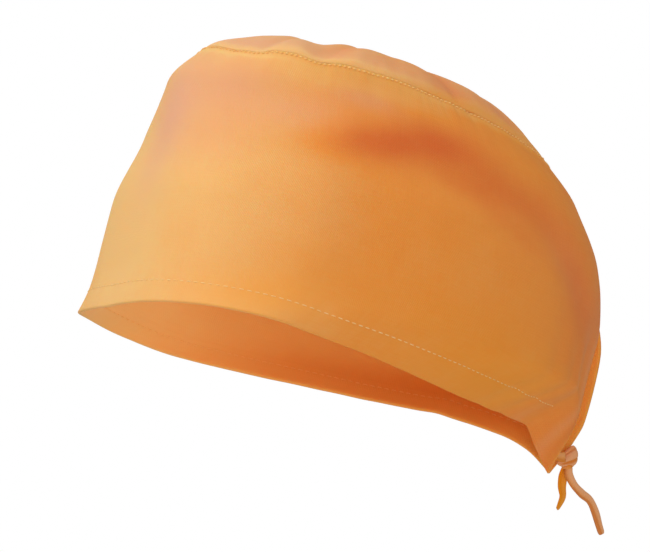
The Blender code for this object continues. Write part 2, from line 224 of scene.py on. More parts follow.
def place_camera():
    """The photograph's view, aimed so that the origin falls on its pixel."""
    turn, rise = radians(VIEW_TURN), radians(VIEW_RISE)
    back = Vector((sin(turn) * cos(rise), -cos(turn) * cos(rise), sin(rise)))
    right = Vector((cos(turn), sin(turn), 0))
    up = back.cross(right)
    over = (PICTURE[0] / 2 - ORIGIN_PIXEL[0]) / FOCAL_PIXELS
    above = (ORIGIN_PIXEL[1] - PICTURE[1] / 2) / FOCAL_PIXELS
    data = bpy.data.cameras.new("camera")
    data.sensor_width = 36
    data.lens = FOCAL_PIXELS * data.sensor_width / PICTURE[0]
    camera = bpy.data.objects.new("camera", data)
    camera.location = back * VIEW_DISTANCE
    camera.rotation_euler = (-back + right * over + up * above).to_track_quat("-Z", "Y").to_euler()
    bpy.context.scene.collection.objects.link(camera)
    bpy.context.scene.camera = camera


# The cloth's form, as in the part


def smooth(rows, column, at):
    """Read a column of a table at a place on its first column, along a smooth monotone line."""
    places = [row[0] for row in rows]
    values = [getattr(row, column) for row in rows]
    steps = [b - a for a, b in zip(places, places[1:])]
    rises = [(b - a) / step for a, b, step in zip(values, values[1:], steps)]
    i = min(max(bisect_right(places, at) - 1, 0), len(steps) - 1)

    def slope(row):
        before = rises[max(row - 1, 0)]
        after = rises[min(row, len(rises) - 1)]
        return 2 * before * after / (before + after) if before * after > 0 else 0.0

    t = min(max((at - places[i]) / steps[i], 0.0), 1.0)
    start = (1 + 2 * t) * (1 - t) ** 2 * values[i] + t * (1 - t) ** 2 * steps[i] * slope(i)
    end = t**2 * (3 - 2 * t) * values[i + 1] - t**2 * (1 - t) * steps[i] * slope(i + 1)
    return start + end


@lru_cache(maxsize=None)
def half_outline(height):
    """One half of a level section as rows of (run, x, y), run being the length from its front."""
    front, back, widest = (
        smooth(SECTIONS, column, height) * RIM_LENGTH for column in ("front", "back", "widest")
    )
    half_width = smooth(SECTIONS, "width", height) * RIM_WIDTH / 2
    front_form = smooth(SECTIONS, "front_form", height)
    back_form = smooth(SECTIONS, "back_form", height)
    rows = []
    for step in range(-CURVE_STEPS, CURVE_STEPS + 1):
        share = sin(pi / 2 * step / CURVE_STEPS)
        form = front_form if share < 0 else back_form
        reach = widest - front if share < 0 else back - widest
        x = half_width * (1 - abs(share) ** SQUARENESS) ** form
        y = widest + reach * share
        run = rows[-1][0] + hypot(x - rows[-1][1], y - rows[-1][2]) if rows else 0.0
        rows.append((run, x, y))
    return rows


@lru_cache(maxsize=None)
def slit_lines(height):
    """The slit's gap and its step at a height, as shares."""
    up_slit = min(height * BAND_HEIGHT / SLIT_HEIGHT, 1.0)
    return smooth(SLIT_LINE, "gap", up_slit), smooth(SLIT_LINE, "step", up_slit)


@lru_cache(maxsize=None)
def edge_lines(side, around):
    """The rim's rise, the crown seam's fall and its dips at a place, as shares of BAND_HEIGHT."""
    dips = sum(
        dip.depth * exp(-(((around - dip.around) / dip.breadth) ** 2))
        for dip in SEAM_DIPS
        if dip.side == side
    )
    rim = smooth(RIM_LINE, "near" if side > 0 else "far", around)
    return rim, smooth(SEAM_LINE, "fall", around), dips / BAND_HEIGHT


def plain_cloth(side, around, height):
    """The side band's outer surface before its folds, in the cap's own level frame."""
    rows = half_outline(height)
    run = around * rows[-1][0]
    i = min(max(bisect_right(rows, (run,)) - 1, 0), len(rows) - 2)
    (run_a, x_a, y_a), (run_b, x_b, y_b) = rows[i], rows[i + 1]
    t = (run - run_a) / (run_b - run_a)
    gap, step = slit_lines(height)
    rim, fall, dips = edge_lines(side, around)
    x = x_a + t * (x_b - x_a) + SLIT_GAP / 2 * gap * around**GAP_REACH
    y = y_a + t * (y_b - y_a) - side * SLIT_STEP / 2 * step * around**STEP_REACH
    rise = height + rim * (1 - height) ** RIM_FADE - fall * height**2 - dips * height**12
    return Vector((side * x, y, rise * BAND_HEIGHT))


HALF_LENGTH = half_outline(0.0)[-1][0]


def patch(row, around, height):
    """How strongly a fold or a shade is felt at places given as numbers or as arrays."""
    along = (around - row.around) * HALF_LENGTH
    up = (height - row.height) * BAND_HEIGHT
    turn = radians(row.turn)
    with_it = (along * cos(turn) + up * sin(turn)) / (row.length * HALF_LENGTH)
    across = (up * cos(turn) - along * sin(turn)) / (row.breadth * BAND_HEIGHT)
    return np.exp(-(with_it**2) - across**2)


def fold_depth(side, around, height):
    """How far the folds push the cloth in, at places given as numbers or as arrays."""
    depth = 0.0
    for fold in FOLDS:
        if fold.side == side:
            depth = depth + fold.depth * FOLD_DEPTH * patch(fold, around, height)
    return depth


def cloth(side, around, height):
    """The side band's outer surface with its folds, in the cap's own level frame."""
    reach = 0.004
    behind, ahead = max(around - reach, 0.0), min(around + reach, 1.0)
    below, above = max(height - reach, 0.0), min(height + reach, 1.0)
    run = plain_cloth(side, ahead, height) - plain_cloth(side, behind, height)
    rise = plain_cloth(side, around, above) - plain_cloth(side, around, below)
    outward = run.cross(rise).normalized() * side
    return plain_cloth(side, around, height) - outward * float(fold_depth(side, around, height))


def hem_end(side):
    """The middle of the hem's end at the slit, where the tie comes out, and the way it faces."""
    hem = HEM_HEIGHT / BAND_HEIGHT
    low, middle, high = (WORN @ cloth(side, 1.0, hem * share) for share in (0.3, 0.62, 0.95))
    up = high - low
    outward = Vector((0, up.z, -up.y)).normalized()
    return middle - Vector((side * HEM_CLOTH / 2, 0, 0)), outward


def knot_middle():
    """The knot sits between the hem's two ends, drawn a little back from them."""
    near, far = hem_end(1)[0], hem_end(-1)[0]
    return (near + far) / 2 + Vector((0, KNOT_LENGTH * 0.42, 0))


# Helpers for meshes


def worn(points):
    """Turn points of the cap's level frame into the part's frame, as it is worn."""
    return points @ np.array(WORN.to_3x3()).T


def unit(vectors):
    return vectors / np.maximum(np.linalg.norm(vectors, axis=-1, keepdims=True), 1e-12)


def bump(distance, width):
    """A round bump or groove of a given half width, as a share of its height."""
    return np.exp(-((distance / width) ** 2))


def waves(points, size, seed, octaves=1):
    """Smooth noise between -1 and 1 at each point, with features of a given size."""
    flat = points.reshape(-1, 3) / size + seed * 17.3
    values = [noise.fractal(Vector(p), 1.0, 2.0, octaves) for p in flat]
    return np.array(values).reshape(points.shape[:-1])


def add_piece(name, points, faces, thread, tone, material, merged=None, bloom=None):
    """A mesh piece that rides on the frame. thread holds each point's place along the weave."""
    faces = np.asarray(faces)
    corners = faces.reshape(-1)
    ids = corners if merged is None else merged[corners]
    used, ids = np.unique(ids, return_inverse=True)
    mesh = bpy.data.meshes.new(name)
    mesh.from_pydata(points[used].tolist(), [], ids.reshape(faces.shape).tolist())
    weave = mesh.attributes.new("weave", "FLOAT_VECTOR", "CORNER")
    weave.data.foreach_set("vector", thread[corners].astype(np.float32).ravel())
    looks = [("tone", tone), ("bloom", np.zeros(len(tone)) if bloom is None else bloom)]
    for look, values in looks:
        shade = mesh.attributes.new(look, "FLOAT", "CORNER")
        shade.data.foreach_set("value", values[corners].astype(np.float32))
    mesh.shade_smooth()
    mesh.materials.append(material)
    piece = bpy.data.objects.new(name, mesh)
    bpy.context.scene.collection.objects.link(piece)
    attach(piece, "root")
    return piece


def grid_faces(ids, flip=False):
    """Four-sided faces between the rows and columns of a grid of point numbers."""
    quads = np.stack([ids[:-1, :-1], ids[:-1, 1:], ids[1:, 1:], ids[1:, :-1]], -1).reshape(-1, 4)
    return quads[:, ::-1] if flip else quads


STITCH_SIDES = 6
STITCH_STATIONS = (-1.0, -0.8, -0.4, 0.0, 0.4, 0.8, 1.0)
STITCH_FLATNESS = (1.15, 0.6)  # its width and its height, as shares of its thickness


def stitches(name, lines, stitch, sink=0.25, thick=THREAD):
    """Short raised threads along lines given as points, outward directions and a tone."""
    pitch, length = stitch
    points, faces, shade = [], [], []
    sides, stations = STITCH_SIDES, np.array(STITCH_STATIONS)
    breadth, depth = STITCH_FLATNESS
    for line, outward, tone in lines:
        steps = np.linalg.norm(np.diff(line, axis=0), axis=1)
        run = np.concatenate([[0], np.cumsum(steps)])
        count = int((run[-1] - length) / pitch)
        for i in range(count + 1):
            middle = length / 2 + i * pitch + (run[-1] - length - count * pitch) / 2
            at = middle + stations * length / 2
            path = np.stack([np.interp(at, run, line[:, k]) for k in range(3)], 1)
            up = unit(np.stack([np.interp(at, run, outward[:, k]) for k in range(3)], 1))
            along = unit(path[-1] - path[0])
            across = unit(np.cross(up, along))
            swell = np.sqrt(np.maximum(1 - np.abs(stations) ** 3, 0.04)) * thick / 2
            lift = thick * (0.5 - sink - 0.55 * stations**4)
            start = len(points)
            for k in range(len(stations)):
                for corner in range(sides):
                    turn = 2 * pi * corner / sides
                    wide = breadth * across[k] * cos(turn) + depth * up[k] * sin(turn)
                    points.append(path[k] + up[k] * lift[k] + wide * swell[k])
                    shade.append(tone + 0.25 * sin(i * 2.4))
            for k in range(len(stations) - 1):
                for corner in range(sides):
                    after = (corner + 1) % sides
                    a, b = start + k * sides, start + (k + 1) * sides
                    faces.append((a + corner, b + corner, b + after, a + after))
            last = start + (len(stations) - 1) * sides
            for a, b, c, d in ((0, 1, 2, 3), (0, 3, 4, 5)):
                faces.append((start + a, start + b, start + c, start + d))
                faces.append((last + d, last + c, last + b, last + a))
    points = np.array(points)
    piece = add_piece(name, points, faces, points, np.array(shade), stitch_thread)
    return piece


# Cotton


def link(tree, source, target):
    tree.links.new(source, target)


def math_node(tree, operation, first, second=None):
    node = tree.nodes.new("ShaderNodeMath")
    node.operation = operation
    for socket, value in zip(node.inputs, (first, second)):
        if isinstance(value, (int, float)):
            socket.default_value = value
        elif value is not None:
            link(tree, value, socket)
    return node.outputs[0]


def ramp_node(tree, factor, stops):
    node = tree.nodes.new("ShaderNodeValToRGB")
    ramp = node.color_ramp
    while len(ramp.elements) < len(stops):
        ramp.elements.new(0.5)
    for element, (at, colour) in zip(ramp.elements, stops):
        element.position = at
        element.color = (*colour, 1)
    link(tree, factor, node.inputs["Fac"])
    return node.outputs["Color"]


def noise_node(tree, vector, scale, detail, stretch=(1, 1, 1)):
    mapping = tree.nodes.new("ShaderNodeMapping")
    mapping.inputs["Scale"].default_value = stretch
    link(tree, vector, mapping.inputs["Vector"])
    node = tree.nodes.new("ShaderNodeTexNoise")
    node.inputs["Scale"].default_value = scale
    node.inputs["Detail"].default_value = detail
    link(tree, mapping.outputs["Vector"], node.inputs["Vector"])
    return node.outputs["Fac"]


def attribute_node(tree, name, output="Fac"):
    node = tree.nodes.new("ShaderNodeAttribute")
    node.attribute_name = name
    return node.outputs[output]


def mix_node(tree, share, first, second):
    """A colour mixed with a share of a fixed one."""
    node = tree.nodes.new("ShaderNodeMix")
    node.data_type = "RGBA"
    link(tree, share, node.inputs["Factor"])
    link(tree, first, node.inputs["A"])
    node.inputs["B"].default_value = (*second, 1)
    return node.outputs["Result"]


# A pale pinkish colour painted as sheen where light falls, and a deep orange painted as glow where
# light comes through the cloth
PAINTED_SHEEN_COLOUR = (0.86, 0.44, 0.25)
PAINTED_GLOW_COLOUR = (0.92, 0.31, 0.012)
SLUB_STRETCHES = ((110, 1500, 1), (1500, 110, 1))  # of the noise along the warp and the weft
CLOUD_SCALE = 28.0
CROSSING_TONE = -0.03
ROUGHNESS = 0.74
COTTON_FINISH = {
    "Specular IOR Level": 0.08,
    "Sheen Weight": 0.06,
    "Sheen Roughness": 0.45,
    "Sheen Tint": (1.0, 0.72, 0.45, 1.0),
    "Subsurface Radius": (1.0, 0.42, 0.16),
    "Subsurface Scale": 2.5 * MM,
}


def cotton(
    name, colours, pitch=0.55 * MM, bump_height=0.09 * MM, spread=0.5, slub=0.22, depth=0.35
):
    """Plain woven cotton. colours run from the lightest to the reddest, as the tone does.

    pitch is the weave's, spread and slub are how far the colour wanders in clouds and along
    single threads, and depth is the share of the light that goes into the cloth.
    """
    material = bpy.data.materials.new(name)
    material.use_nodes = True
    tree = material.node_tree
    shader = tree.nodes["Principled BSDF"]

    def calc(operation, first, second=None):
        return math_node(tree, operation, first, second)

    weave = attribute_node(tree, "weave", "Vector")
    tone, bloom = attribute_node(tree, "tone"), attribute_node(tree, "bloom")
    thread = tree.nodes.new("ShaderNodeSeparateXYZ")
    link(tree, weave, thread.inputs[0])
    warp = calc("SINE", calc("MULTIPLY", thread.outputs["X"], pi / pitch))
    weft = calc("SINE", calc("MULTIPLY", thread.outputs["Y"], pi / pitch))
    over = calc("MULTIPLY", warp, weft)
    slubs = calc("ADD", *(noise_node(tree, weave, 1.0, 2.0, stretch) for stretch in SLUB_STRETCHES))
    cloud = noise_node(tree, weave, CLOUD_SCALE, 3.0)
    uneven = calc("MULTIPLY", calc("SUBTRACT", cloud, 0.5), spread)
    slubby = calc("MULTIPLY", calc("SUBTRACT", slubs, 1.0), slub)
    crossed = calc("MULTIPLY", over, CROSSING_TONE)
    # The tone carries painted light and shade as well as the cloth's random clouds and slubs
    total = calc("ADD", calc("ADD", calc("ADD", tone, uneven), slubby), crossed)
    factor = calc("ADD", calc("MULTIPLY", total, 0.5), 0.5)
    count = len(colours) - 1
    dye_and_shade = ramp_node(tree, factor, [(i / count, colour) for i, colour in enumerate(colours)])
    # Painted sheen and glow: the colour is mixed towards the pale pinkish one or towards the deep
    # orange
    with_painted_sheen = mix_node(tree, bloom, dye_and_shade, PAINTED_SHEEN_COLOUR)
    with_painted_glow = mix_node(tree, calc("MULTIPLY", bloom, -1.0), with_painted_sheen, PAINTED_GLOW_COLOUR)
    link(tree, with_painted_glow, shader.inputs["Base Color"])
    relief = tree.nodes.new("ShaderNodeBump")
    relief.inputs["Strength"].default_value = 0.5
    relief.inputs["Distance"].default_value = bump_height
    link(tree, calc("ADD", calc("MULTIPLY", over, 0.5), slubs), relief.inputs["Height"])
    link(tree, relief.outputs["Normal"], shader.inputs["Normal"])
    rough = calc("ADD", calc("MULTIPLY", slubs, 0.1), ROUGHNESS)
    link(tree, rough, shader.inputs["Roughness"])
    for socket, value in COTTON_FINISH.items():
        shader.inputs[socket].default_value = value
    shader.inputs["Subsurface Weight"].default_value = depth
    return material


# The colours of each cotton, from the palest to the reddest
# Where the tone paints light and shade, the palest colour stands for lit cloth and the reddest for
# shaded cloth
BAND_COLOURS = ((0.95, 0.55, 0.20), (0.92, 0.33, 0.065), (0.78, 0.18, 0.042))
CROWN_COLOURS = ((0.95, 0.54, 0.22), (0.92, 0.37, 0.11), (0.82, 0.21, 0.055))
TIE_COLOURS = ((0.96, 0.42, 0.06), (0.86, 0.34, 0.09), (0.66, 0.20, 0.05))
STITCH_COLOURS = ((1.0, 0.70, 0.32), (1.0, 0.60, 0.21), (0.98, 0.48, 0.14))

place_camera()
band_cotton = cotton("band_cotton", BAND_COLOURS)
crown_cotton = cotton("crown_cotton", CROWN_COLOURS)
tie_cotton = cotton("tie_cotton", TIE_COLOURS, pitch=0.45 * MM, spread=0.3, slub=0.1, depth=0.0)
stitch_thread = cotton(
    "stitch_thread", STITCH_COLOURS, pitch=0.3 * MM, bump_height=0.03 * MM, slub=0.1, depth=0.0
)


# The tie


def route_line(route, base, step):
    """Points and widths along a smooth line through a tail's places."""
    places = [base + Vector(row[:3]) for row in route]
    widths = [row.width for row in route]
    line = []
    for i in range(len(places) - 1):
        before, a = places[max(i - 1, 0)], places[i]
        b, after = places[i + 1], places[min(i + 2, len(places) - 1)]
        steps = max(round((b - a).length / step), 1)
        for part in range(steps):
            t = part / steps
            bend = (b - before) * (t - 2 * t**2 + t**3) + (after - a) * (t**3 - t**2)
            point = a * (1 - 3 * t**2 + 2 * t**3) + b * (3 * t**2 - 2 * t**3) + bend / 2
            line.append((point, widths[i] + (widths[i + 1] - widths[i]) * t))
    line.append((places[-1], widths[-1]))
    return line


TAPE_SIDES = 24


def tape(name, path, widths, thicks, facing, tone=0.0, bloom=0.0, crease=0.3, closed=False):
    """Cotton tape folded lengthwise, swept along a path. facing is the way its flat side looks."""
    path = np.array(path)
    count, sides = len(path), TAPE_SIDES
    if closed:
        onward = unit(np.roll(path, -1, 0) - np.roll(path, 1, 0))
    else:
        onward = unit(np.gradient(path, axis=0))
    across = unit(np.cross(onward, np.array(facing)))
    through = np.cross(across, onward)
    turn = 2 * pi * np.arange(sides) / sides
    wide = np.sign(np.cos(turn)) * np.abs(np.cos(turn)) ** 0.8
    deep = np.sign(np.sin(turn)) * np.abs(np.sin(turn)) ** 0.7
    fold = 1 - crease * bump(wide - 0.25, 0.22) * (deep > 0)
    ring_w = np.asarray(widths)[:, None] / 2 * wide
    ring_t = np.asarray(thicks)[:, None] / 2 * (deep * fold)
    points = path[:, None] + across[:, None] * ring_w[..., None]
    points = points + through[:, None] * ring_t[..., None]
    steps = np.linalg.norm(np.diff(path, axis=0), axis=1)
    run = np.concatenate([[0], np.cumsum(steps)])
    thread = np.stack(np.broadcast_arrays(run[:, None], ring_w, np.zeros(1)), -1)
    # Painted light and shade: one edge of the tape is painted darker as shade, the other paler and
    # pinker as a painted highlight
    tone = tone + 0.2 * waves(points, 4 * MM, 5) + 1.1 * bump(wide - 0.8, 0.4)
    tone = tone - 0.5 * bump(wide + 0.8, 0.4)
    bloom = bloom + 0.4 * bump(wide + 0.5, 0.5) - 0.4 * bump(wide - 0.8, 0.4)
    bloom = np.broadcast_to(bloom, tone.shape)
    ids = np.arange(count * sides).reshape(count, sides)
    ids = np.concatenate([ids, ids[:, :1]], 1)
    if closed:
        ids = np.concatenate([ids, ids[:1]], 0)
    faces = grid_faces(ids, flip=True)
    points = points.reshape(-1, 3)
    thread = thread.reshape(-1, 3)
    tone, bloom = tone.reshape(-1), bloom.reshape(-1).clip(-1, 1)
    if not closed:
        ends = np.array([path[0], path[-1]])
        base = len(points)
        points = np.concatenate([points, ends])
        thread = np.concatenate([thread, np.zeros((2, 3))])
        tone, bloom = np.concatenate([tone, [0.1, 0.1]]), np.concatenate([bloom, [0.2, 0.2]])
        caps = []
        for i in range(0, sides, 2):
            a, b, c = ids[0, i], ids[0, i + 1], ids[0, i + 2]
            caps.append((base, a, b, c))
            a, b, c = ids[-1, i], ids[-1, i + 1], ids[-1, i + 2]
            caps.append((base + 1, c, b, a))
        faces = np.concatenate([faces, np.array(caps)])
    piece = add_piece(name, points, faces, thread, tone, tie_cotton, bloom=bloom)
    return piece


knot_centre = knot_middle()
knot_base = knot_centre - Vector((0, 0, KNOT_FOOT * KNOT_HEIGHT))
NEAR_SIDE = Vector((1, 0, 0))


def twisted(count, start, end):
    """Facings that turn from one angle to another, in degrees from +X about the upright."""
    angles = np.radians(np.linspace(start, end, count))
    return [list(Matrix.Rotation(a, 3, "Z") @ NEAR_SIDE) for a in angles]


TAIL_STEP = 0.7 * MM
TAIL_FORWARD = 1.2 * MM  # how far the long tail's top is drawn towards the front
LONG_THICKNESS = 2.5 * MM
long_line = route_line(LONG_TAIL, knot_base, TAIL_STEP)
long_share = np.linspace(0, 1, len(long_line))
long_path = [
    tuple(p - Vector((0, TAIL_FORWARD * (1 - 0.7 * share**2), 0)))
    for (p, _), share in zip(long_line, long_share)
]
long_widths = TIE_WIDTH * np.array([w for _, w in long_line])
long_widths *= 1 - 0.25 * bump(long_share - 1, 0.02) + 0.05 * np.sin(long_share * 19)
long_thicks = LONG_THICKNESS * (1 - 0.35 * bump(long_share - 1, 0.03))
# The long tail is painted paler and pinker, as painted sheen
long_tail = tape(
    "tie_end_long",
    long_path,
    long_widths,
    long_thicks,
    twisted(len(long_line), -35, 25),
    tone=-0.25,
    bloom=0.35,
)
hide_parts("tie_tail_long")

SHORT_WIDTH = 4.3 * MM
short_line = route_line(SHORT_TAIL, knot_base, TAIL_STEP)
short_share = np.linspace(0, 1, len(short_line))
# The short tail is painted a saturated yellow-orange, as painted shade with painted glow
short_tail = tape(
    "tie_end_short",
    [tuple(p) for p, _ in short_line],
    SHORT_WIDTH * np.array([w for _, w in short_line]) ** 0.5,
    TIE_CLOTH * (1.1 - 0.5 * short_share),
    twisted(len(short_line), -25, 40),
    tone=-0.8,
    bloom=-0.7,
    crease=0.5,
)
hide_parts("tie_tail_short")


def tie_stretch(end):
    """The short stretch of tie between the hem's end and the knot."""
    hem, outward = hem_end(end.side)
    start = hem - outward * 2.5 * MM
    bend = hem + outward * (2 * TOUCH + TIE_CLOTH * 0.8) - NEAR_SIDE * (end.side * TIE_CLOTH * 0.2)
    place = Vector((end.x * KNOT_WIDTH / 2, end.y * KNOT_LENGTH / 2, end.z * KNOT_HEIGHT / 2))
    stop = knot_centre + place * 0.8
    path = []
    for t in np.linspace(0, 1, 15):
        path.append(start * (1 - t) ** 2 + bend * 2 * t * (1 - t) + stop * t**2)
    share = np.linspace(0, 1, len(path))
    piece = tape(
        end.name.replace("tie_", "tie_from_"),
        [tuple(p) for p in path],
        TIE_WIDTH * (1.0 + 0.3 * share),
        TIE_CLOTH * (0.95 + 0 * share),
        twisted(len(path), 0, 15 * end.side),
        tone=-0.1,
        bloom=0.0,
        crease=0.5,
    )
    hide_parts(end.name)


for tie_end in TIE_ENDS:
    tie_stretch(tie_end)


# The knot's outline from its near side: places back from its front end, as shares of
# KNOT_LENGTH, with its top, its bottom and half its width there, in metres from its middle.
KNOT_LINE = table(
    "back top bottom half_width",
    (0.00, -0.0026, -0.0036, 0.0006),
    (0.18, -0.0006, -0.0046, 0.0020),
    (0.40, 0.0024, -0.0053, 0.0031),
    (0.60, 0.0041, -0.0056, 0.0037),
    (0.76, 0.0050, -0.0050, 0.0036),
    (0.90, 0.0040, -0.0034, 0.0026),
    (1.00, 0.0012, -0.0010, 0.0006),
)
# The grooves between its pleats: their angles round it, in degrees, widths, depths as shares of
# its radius, and how far they wind on their way back. The grooves are also painted darker by their
# depth, as painted shade.
CREASES = table(
    "turn width depth lean",
    (-30, 12, 0.30, 10),
    (54, 11, 0.14, -8),
    (-68, 12, 0.12, 0),
    (96, 14, 0.14, 0),
    (128, 14, 0.20, 6),
    (170, 12, 0.14, 0),
    (214, 14, 0.20, -6),
    (256, 13, 0.16, 0),
)


def knot_surface():
    """The pulled knot: a fan of pleats from its front end, with a lobe that stands up behind."""
    rings, sides = 48, 120
    shares = (1 - np.cos(np.linspace(0, pi, rings))) / 2
    turn = np.arange(sides) * 360 / sides - 90
    points, tone = [], []
    for share in shares:
        columns = ("top", "bottom", "half_width")
        top, bottom, half_width = (smooth(KNOT_LINE, column, share) for column in columns)
        radius = np.ones(sides)
        crease_shade = np.zeros(sides)
        for crease in CREASES:
            away = (turn - crease.turn - crease.lean * share + 180) % 360 - 180
            line = bump(away, crease.width) * sin(pi * share) ** 0.4
            radius -= crease.depth * line
            # Painted shade along each groove
            crease_shade += crease.depth * 4.0 * line
        angle = np.radians(turn)
        x = np.cos(angle) * half_width * radius
        z = (top + bottom) / 2 + np.sin(angle) * (top - bottom) / 2 * radius
        y = np.full(sides, (share - 0.48) * KNOT_LENGTH * 0.98)
        points.append(np.stack([x, y, z], -1))
        tone.append(crease_shade - 0.25)
    points, tone = np.array(points), np.array(tone)
    points[..., 0] += 0.12 * MM * waves(points, 2.5 * MM, 9)
    points[..., 2] += 0.12 * MM * waves(points, 2.5 * MM, 10)
    tone = tone + 0.15 * waves(points, 2.0 * MM, 11)
    thread = np.stack(np.broadcast_arrays(turn / 360 * 28 * MM, shares[:, None] * 12 * MM, 0), -1)
    ids = np.arange(rings * sides).reshape(rings, sides)
    faces = grid_faces(np.concatenate([ids, ids[:, :1]], 1))
    flat_points = points.reshape(-1, 3) + np.array(knot_centre)
    ends = np.array([points[0].mean(0), points[-1].mean(0)]) + np.array(knot_centre)
    base = len(flat_points)
    caps = []
    for i in range(0, sides, 2):
        caps.append((base, ids[0, (i + 2) % sides], ids[0, i + 1], ids[0, i]))
        caps.append((base + 1, ids[-1, i], ids[-1, i + 1], ids[-1, (i + 2) % sides]))
    # Paler and pinker on the ridges between the creases, as painted sheen
    piece = add_piece(
        "tie_knot_body",
        np.concatenate([flat_points, ends]),
        np.concatenate([faces, np.array(caps)]),
        np.concatenate([thread.reshape(-1, 3), np.zeros((2, 3))]),
        np.concatenate([tone.reshape(-1), [0.3, 0.3]]),
        tie_cotton,
        bloom=np.concatenate([(0.45 - 0.9 * tone).clip(-0.4, 0.85).reshape(-1), [0, 0]]),
    )
    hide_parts("tie_knot")


WRAP_MIDDLE = Vector((-0.1 * MM, 0.3 * MM, -5.0 * MM))  # from the knot's middle
WRAP_RADII = (2.4 * MM, 1.6 * MM)
WRAP_TURN = 80
WRAP_WIDTH = 2.0 * MM
WRAP_THICKNESS = 1.2 * MM


def knot_wrap():
    """One turn of the tape drawn round the ties under the knot."""
    path, facing = [], []
    rotation = Matrix.Rotation(radians(WRAP_TURN), 3, "X")
    broad, deep = WRAP_RADII
    for t in np.linspace(0, 2 * pi, 40, endpoint=False):
        ring = Vector((cos(t) * broad, 0, sin(t) * deep))
        path.append(tuple(knot_centre + WRAP_MIDDLE + rotation @ ring))
        facing.append(tuple(rotation @ Vector((cos(t) / broad, 0, sin(t) / deep)).normalized()))
    # The wrap under the knot is painted a deeper orange, as painted shade
    tape(
        "tie_knot_wrap",
        path,
        np.full(len(path), WRAP_WIDTH),
        np.full(len(path), WRAP_THICKNESS),
        facing,
        tone=0.2,
        bloom=-0.4,
        crease=0.35,
        closed=True,
    )


knot_surface()
knot_wrap()


# The side band


def band_columns():
    """Shares round a half of the band: even steps, and fine ones at the slit's folded edge."""
    fine = np.array([0, 0.2, 0.5, 0.95, 1.6, 2.5, 3.6, 4.6, 5.2, 5.7, 6.2, 6.7, 7.4, 7.7, 8.4]) * MM
    even = np.linspace(fine[-1], HALF_LENGTH, 196)[1:]
    return (1 - np.concatenate([fine, even]) / HALF_LENGTH)[::-1].clip(0, 1)


def band_heights():
    """Shares up the band, with fine steps at the hem's edge, its stitches and the crown seam."""
    hem = np.array([0, 0.2, 0.5, 0.95, 1.8, 3.0, 4.4, 5.8, 7.0, 8.0, 8.6, 9.0, 9.4, 9.8, 10.2]) * MM
    hem = np.concatenate([hem, np.array([10.5, 10.8, 11.4, 12.2]) * MM])
    beside = np.linspace(hem[-1], SLIT_HEIGHT, 45)[1:]
    over = np.linspace(SLIT_HEIGHT, BAND_HEIGHT - 6 * MM, 22)[1:]
    seam = BAND_HEIGHT - np.array([5.2, 4.4, 3.6, 3.0, 2.7, 2.4, 2.1, 1.8, 1.3, 0.8, 0.4, 0]) * MM
    return np.concatenate([hem, beside, over, seam]) / BAND_HEIGHT


# The band's colour, with painted light and shade: paler in front as painted light, redder in the
# hollows and towards the back as painted shade. A tone of -1 is the palest and 1 the reddest. The
# last column over 0 is a share of a pale pinkish colour painted as sheen on the lit ridges, and
# below
# 0 of a deep orange painted as glow where light comes through. Sides, places and sizes are as in
# FOLDS, and a shade near the front middle runs on round it to the other side.
SHADES = table(
    "side around height length breadth turn tone bloom",
    (1, 0.385, 0.755, 0.125, 0.070, 13, 1.00, 0.0),
    (1, 0.49, 0.83, 0.06, 0.060, 0, 0.45, 0.0),
    (1, 0.61, 0.745, 0.12, 0.080, -8, 0.60, 0.0),
    (1, 0.79, 0.56, 0.10, 0.10, -36, 0.45, 0.1),
    (1, 0.93, 0.45, 0.05, 0.22, 0, 0.30, 0.1),
    (1, 0.12, 0.84, 0.09, 0.14, 6, 0.38, 0.65),
    (1, 0.25, 0.79, 0.07, 0.07, 14, 0.20, 0.35),
    (1, 0.12, 0.62, 0.07, 0.12, 0, 0.15, 0.30),
    (1, 0.355, 0.90, 0.06, 0.040, 0, 0.10, 0.45),
    (1, 0.29, 0.950, 0.13, 0.045, 0, -0.45, -0.30),
    (1, 0.02, 0.70, 0.05, 0.25, 0, 0.10, 0.85),
    (1, 0.43, 0.955, 0.09, 0.050, 0, -0.50, -0.20),
    (1, 0.74, 0.93, 0.17, 0.09, 0, 0.30, -0.30),
    (1, 0.45, 0.50, 0.20, 0.20, 0, 0.0, -0.15),
    (1, 0.55, 0.14, 0.22, 0.22, 0, -0.10, -0.38),
    (1, 0.53, 0.70, 0.07, 0.05, -8, 0.35, 0.0),
    (1, 0.64, 0.60, 0.08, 0.05, -15, 0.25, 0.0),
    (1, 0.02, 0.30, 0.07, 0.30, 0, -0.30, 0.0),
    (1, 0.31, 0.20, 0.08, 0.14, 0, 0.20, -0.20),
    (1, 0.27, 0.06, 0.09, 0.10, 0, 0.0, -0.35),
    (1, 0.74, 0.06, 0.14, 0.10, 0, -0.05, -0.30),
    (1, 0.84, 0.38, 0.08, 0.20, 0, 0.30, 0.0),
    (-1, 0.05, 0.42, 0.07, 0.32, 0, -0.35, 0.0),
    (-1, 0.40, 0.76, 0.16, 0.08, 10, 0.50, 0.0),
    (-1, 0.62, 0.74, 0.13, 0.10, -8, 0.55, 0.0),
    (-1, 0.80, 0.50, 0.11, 0.14, -30, 0.45, 0.1),
    (-1, 0.14, 0.84, 0.10, 0.14, 8, 0.20, 0.40),
    (-1, 0.60, 0.92, 0.25, 0.08, 0, 0.10, 0.30),
    (-1, 1.00, 0.06, 0.03, 0.20, 0, 0.05, -1.00),
    (-1, 1.00, 0.35, 0.03, 0.20, 0, 0.75, -0.35),
)
PALE_FRONT = (-0.80, 0.372, 0.13, 0.09)  # painted light: the front's paler tone, its end round the rim, its lean and its softness
RED_BACK = (0.30, 0.80, 0.14)  # painted shade: the back's redder tone, where it starts and its softness
